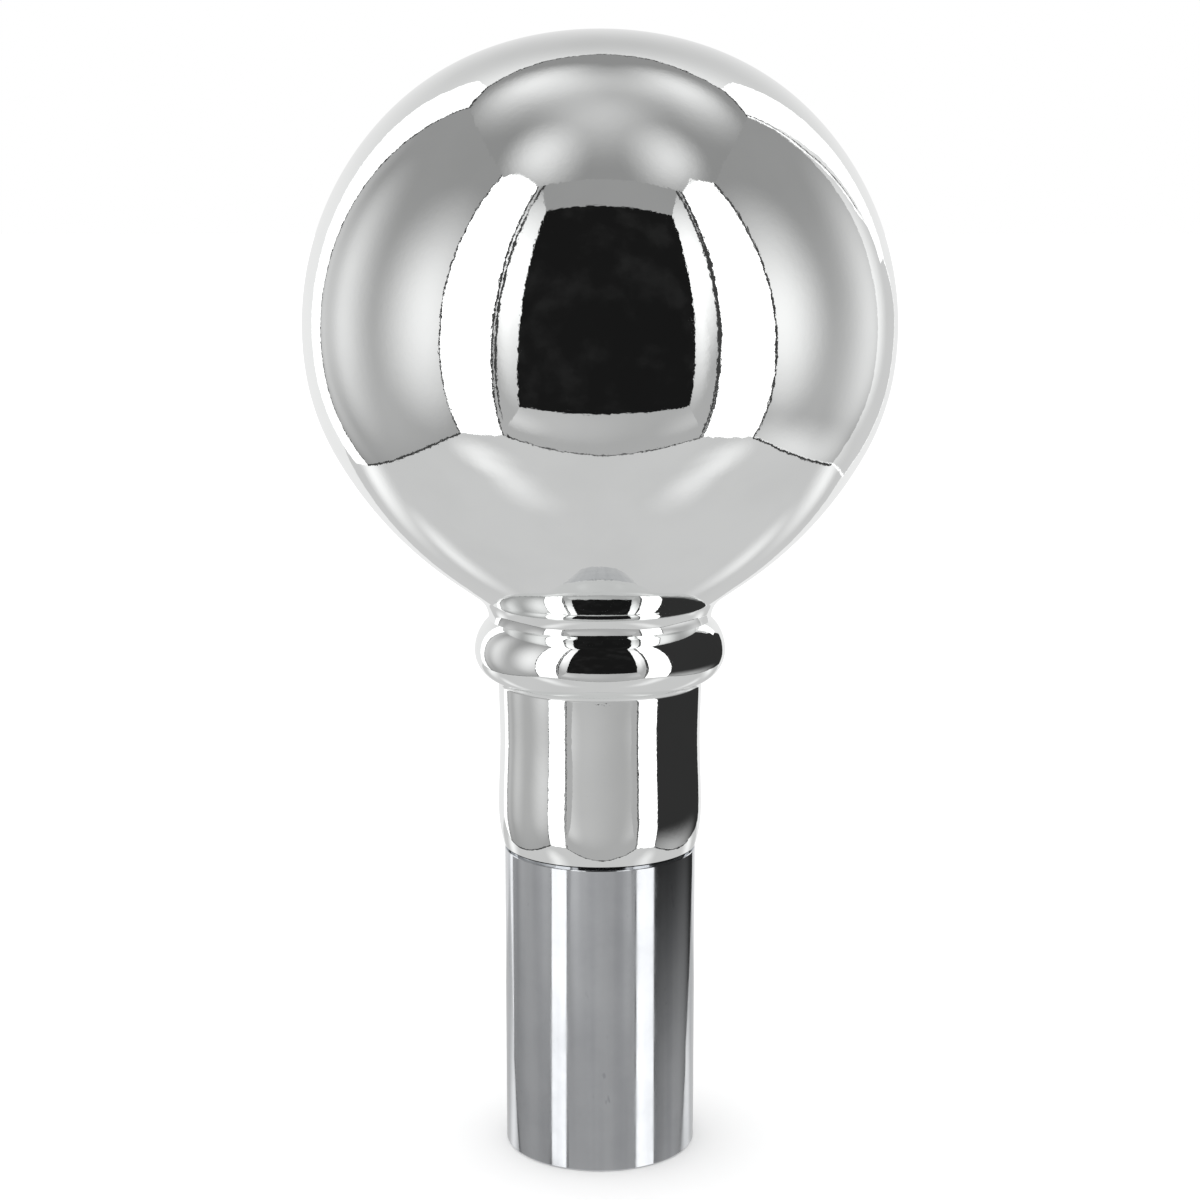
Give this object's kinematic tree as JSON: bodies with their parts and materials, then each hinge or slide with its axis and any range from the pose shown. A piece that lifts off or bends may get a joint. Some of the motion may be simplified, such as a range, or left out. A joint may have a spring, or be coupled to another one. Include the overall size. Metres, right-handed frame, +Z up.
{
  "type": "gooseneck hitch ball",
  "caption": "Chrome trailer hitch ball on a beaded collar and a plain round steel shank, drawn together by a hidden bolt.",
  "frame": {"origin": "centre of the shank's flat cut end, on the surface that the part stands on", "axes": "+Z up the turning axis from the shank's end to the ball's crown; X and Y square to it, with the dowel pins on X"},
  "size_m": [0.0762, 0.0762, 0.147],
  "materials": {
    "mirror_chrome": "mirror-polished chrome plate",
    "drawn_steel": "bright drawn bar with lengthwise marks",
    "seal_rubber": "smooth black rubber",
    "ground_steel": "ground",
    "black_oxide_steel": "black oxide, lightly oiled",
    "zinc_steel": "zinc plated"
  },
  "bodies": {
    "root": {"ball": "mirror_chrome", "collar": "mirror_chrome", "shank": "drawn_steel", "upper_seal_ring": "seal_rubber", "lower_seal_ring": "seal_rubber", "plug_seal_ring": "seal_rubber", "dowel_pins": "ground_steel", "draw_bolt": "black_oxide_steel", "flat_washer": "zinc_steel", "spring_washer": "zinc_steel", "end_plug": "zinc_steel", "retaining_ring": "black_oxide_steel"}
  },
  "joints": []
}
